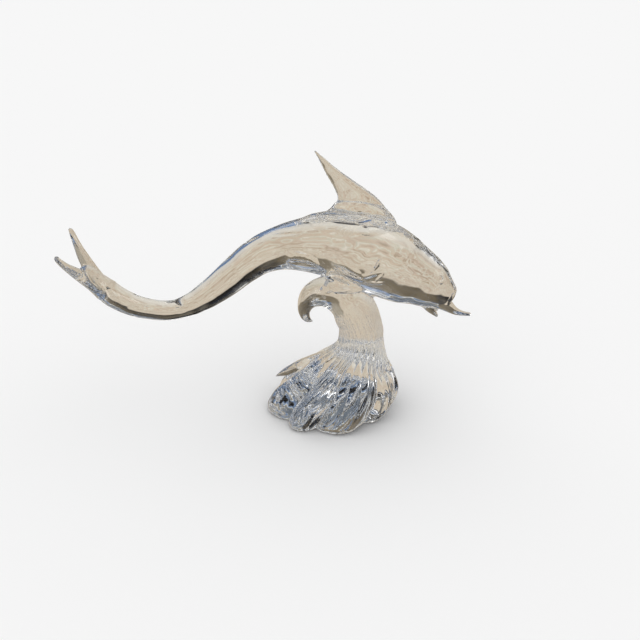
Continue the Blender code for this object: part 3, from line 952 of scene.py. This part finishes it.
# Colours of the stone table top, from the dark middle of a vein to the pale stone between veins
TABLE = [(0.0, linear(172, 155, 134)), (0.22, linear(195, 177, 158)), (0.55, linear(205, 189, 169)),
         (0.80, linear(200, 195, 176)), (1.0, linear(222, 213, 199))]
TABLE_EDGE = (-0.12, -0.07)     # upward part of a direction where the table gives way to walls
BEHIND_EDGE = (0.25, -0.25)     # forward part of a direction from which it looks back
BEHIND_DROP = 0.40              # how much lower the walls start in the part that lies behind
VEINS_ACROSS = 1.7              # how close together the veins lie across the table, and along it
VEINS_AWAY = 0.55
VEIN_SCALE = 1.9
VEIN_DETAIL = 1.5
VEIN_SWIRL = 2.0
VEIN_COUNT = 6.0                # passes through the colours from the lowest noise to the highest
LEAST_DOWN = 0.05               # least steepness that places on the table are worked out with

# Right below, the table is paler with painted light that the glass throws on it: its colour there,
# how steeply down it starts and is full
TABLE_PAINTED_LIGHT = linear(226, 222, 212)
PAINTED_LIGHT_DOWN = (-0.55, -0.80)
PAINTED_LIGHT_SHARE = 0.85

# Colours of the room round the walls, from behind the camera by the left, ahead and the right
WALLS = [
    (0.0, PALE), (0.05, PALE), (0.07, NIGHT), (0.11, NIGHT), (0.13, WHITE), (0.18, WHITE),
    (0.20, BLUE), (0.24, NIGHT), (0.455, NIGHT), (0.49, BROWN), (0.55, CLAY),
    (0.585, TAN), (0.68, TAN), (0.70, NIGHT), (0.75, NIGHT), (0.77, WHITE), (0.82, WHITE),
    (0.84, BLUE), (0.88, BLUE), (0.90, NIGHT), (0.95, NIGHT), (0.97, PALE), (1.0, PALE),
]

# Unevenness of all edges in the room: its scale and detail, and how far it moves the edges up
# and down, and round as a share of a turn
WOBBLE_SCALE = 3.0
WOBBLE_DETAIL = 2.0
WOBBLE_UP = 0.22
WOBBLE_ROUND = 0.10

# Colours of the patchy ceiling
CEILING = [(0.0, NIGHT), (0.27, NIGHT), (0.31, SLATE), (0.36, BLUE), (0.44, BLUE), (0.47, PALE),
           (0.50, WHITE), (0.52, NIGHT), (0.55, NIGHT), (0.57, BLUE), (0.62, BLUE), (0.65, SLATE),
           (0.70, NIGHT), (1.0, NIGHT)]
CEILING_SCALE = 2.1
CEILING_EDGE = (0.34, 0.42)     # upward part of a direction where walls give way to the ceiling
LEFT_EDGE = (0.50, 0.46)        # place round the walls, ahead, where their left part starts
LEFT_RISE = 0.25                # how much further up the walls go in that part

# Colours seen through a window ahead
WINDOW = [(0.0, NIGHT), (0.34, NIGHT), (0.37, SLATE), (0.42, BLUE), (0.47, BLUE), (0.50, PALE),
          (0.53, PALE), (0.55, NIGHT), (0.58, BROWN), (0.61, TAN), (0.66, SLATE), (1.0, SLATE)]
WINDOW_SCALE = 5.0
DUSK_SCALE = 3.0
DUSK_EDGE = (0.42, 0.50)        # noise at which the dusk patch turns from slate to blue


def aimed(azimuth, height):
    """Direction from its angle from straight ahead towards the right, and its angle of height."""
    turn, lift = math.radians(azimuth), math.radians(height)
    return (math.sin(turn) * math.cos(lift), math.cos(turn) * math.cos(lift), math.sin(lift))


# Round patches of the room, and the painted shadow of the piece on the table below it: the
# direction of the middle, and the angles from it, in degrees, where the patch has faded out and
# where it is full
DUSK_PATCH = (aimed(125, -35), 48, 38)
WINDOW_PATCH = (aimed(12, 35), 25, 19)
# painted shadow: a dark patch straight below, for the shade that the piece throws on the table
PAINTED_SHADOW_PATCH = (aimed(0, -72), 13, 9)
LAMPS = [((-0.35, 0.45, 0.75), 14, 10), ((0.45, -0.35, 0.85), 16, 11)]
LAMP_LIGHT = (2.6, 2.6, 2.6, 1.0)


def table_colour(s, x, y, z):
    """Veined stone, laid out flat below the piece, and paler right below it with painted light."""
    down = s.math("MAXIMUM", s.math("MULTIPLY", z, -1.0), LEAST_DOWN)
    table_x = s.math("DIVIDE", s.math("MULTIPLY", x, VEINS_ACROSS), down)
    table_y = s.math("DIVIDE", s.math("MULTIPLY", y, VEINS_AWAY), down)
    flat = s.node("ShaderNodeCombineXYZ", {0: table_x, 1: table_y}).outputs[0]
    veins = s.math("MULTIPLY", s.noise(flat, VEIN_SCALE, VEIN_DETAIL, VEIN_SWIRL), VEIN_COUNT)
    stone = s.ramp(s.math("PINGPONG", veins, 1.0), TABLE)
    # painted light: the table is paler right below the piece
    return s.mix(s.math("MULTIPLY", s.step(z, *PAINTED_LIGHT_DOWN), PAINTED_LIGHT_SHARE), stone, TABLE_PAINTED_LIGHT)


def make_room():
    """The surroundings that the glass mirrors and bends, with painted light and a painted shadow on
    the table right below; all else is lit by plain white.
    """
    world = bpy.data.worlds.new("room")
    bpy.context.scene.world = world
    world.use_nodes = True
    s = Shading(world.node_tree)
    direction = s.node("ShaderNodeTexCoord").outputs["Generated"]
    x, y, z = s.node("ShaderNodeSeparateXYZ", {0: direction}).outputs
    wobble = s.math("SUBTRACT", s.noise(direction, WOBBLE_SCALE, WOBBLE_DETAIL), 0.5)
    level = s.math("ADD", z, s.math("MULTIPLY", wobble, WOBBLE_UP))
    round_walls = s.math("DIVIDE", s.math("ARCTAN2", x, y), 2 * math.pi)
    round_walls = s.math("ADD", round_walls, s.math("MULTIPLY_ADD", wobble, WOBBLE_ROUND, 0.5))

    walls = s.ramp(round_walls, WALLS)
    ceiling = s.ramp(s.noise(direction, CEILING_SCALE), CEILING)
    left = s.step(round_walls, *LEFT_EDGE)
    wall_level = s.math("MULTIPLY_ADD", left, -LEFT_RISE, level)
    above = s.mix(s.step(wall_level, *CEILING_EDGE), walls, ceiling)
    behind = s.step(y, *BEHIND_EDGE)
    table_level = s.math("MULTIPLY_ADD", behind, BEHIND_DROP, level)
    room = s.mix(s.step(table_level, *TABLE_EDGE), table_colour(s, x, y, z), above)

    dusk = s.mix(s.step(s.noise(direction, DUSK_SCALE), *DUSK_EDGE), SLATE, BLUE)
    window = s.ramp(s.noise(direction, WINDOW_SCALE), WINDOW)
    lamps = s.math("MAXIMUM", *(s.facing(direction, *lamp) for lamp in LAMPS))
    room = s.mix(s.facing(direction, *DUSK_PATCH), room, dusk)
    room = s.mix(s.facing(direction, *WINDOW_PATCH), room, window)
    # painted shadow of the piece on the table right below it
    room = s.mix(s.facing(direction, *PAINTED_SHADOW_PATCH), room, PAINTED_SHADOW_COLOUR)
    room = s.mix(lamps, room, LAMP_LIGHT)

    ray = s.node("ShaderNodeLightPath").outputs
    in_glass = s.math("MAXIMUM", ray["Is Glossy Ray"], ray["Is Transmission Ray"])
    light = s.node("ShaderNodeBackground", {"Color": s.mix(in_glass, WHITE, room)})
    s.node("ShaderNodeOutputWorld", {"Surface": light.outputs[0]})


FLOOR_COLOUR = (0.93, 0.93, 0.93, 1.0)
FLOOR_SIZE = 60.0


def make_floor():
    """A plain pale floor, which the glass neither mirrors nor bends."""
    bpy.ops.mesh.primitive_plane_add(size=FLOOR_SIZE, location=(0, 0, 0))
    floor = bpy.context.object
    floor.name = "floor"
    material = bpy.data.materials.new("pale_floor")
    material.use_nodes = True
    s = Shading(material.node_tree)
    matt = s.node("ShaderNodeBsdfDiffuse", {"Color": FLOOR_COLOUR})
    s.node("ShaderNodeOutputMaterial", {"Surface": matt.outputs[0]})
    floor.data.materials.append(material)
    floor.visible_transmission = False
    floor.visible_glossy = False


# The photograph's view, from the -Y side and looking down
VIEW_TARGET = Vector((-0.017, 0.0, 0.1173))
VIEW_DISTANCE = 0.95
VIEW_DOWN = math.radians(24)
VIEW_LENS = 44.53           # the lens and the width of the sensor behind it, in millimetres
VIEW_SENSOR = 36.0
VIEW_NEAREST = 0.01


def make_camera():
    """The camera in the photograph's place."""
    camera = bpy.data.cameras.new("camera")
    camera.lens = VIEW_LENS
    camera.sensor_width = VIEW_SENSOR
    camera.clip_start = VIEW_NEAREST
    eye = bpy.data.objects.new("camera", camera)
    towards = Vector((0.0, math.cos(VIEW_DOWN), -math.sin(VIEW_DOWN)))
    eye.location = VIEW_TARGET - towards * VIEW_DISTANCE
    eye.rotation_euler = towards.to_track_quat("-Z", "Y").to_euler()
    bpy.context.scene.collection.objects.link(eye)
    bpy.context.scene.camera = eye


GLASS_BOUNCES = 32
GLOSSY_BOUNCES = 16


def make_picture_settings():
    """Neutral tones, and enough light bounces for the glass."""
    scene = bpy.context.scene
    scene.view_settings.view_transform = "Standard"
    scene.cycles.max_bounces = GLASS_BOUNCES
    scene.cycles.transmission_bounces = GLASS_BOUNCES
    scene.cycles.glossy_bounces = GLOSSY_BOUNCES
    scene.cycles.caustics_reflective = False
    scene.cycles.caustics_refractive = False


make_camera()
make_floor()
make_room()
make_picture_settings()
piece = make_sculpture(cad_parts["glass_dolphin"])
piece.data.materials.append(glass())
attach(piece, "root")
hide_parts("glass_dolphin")
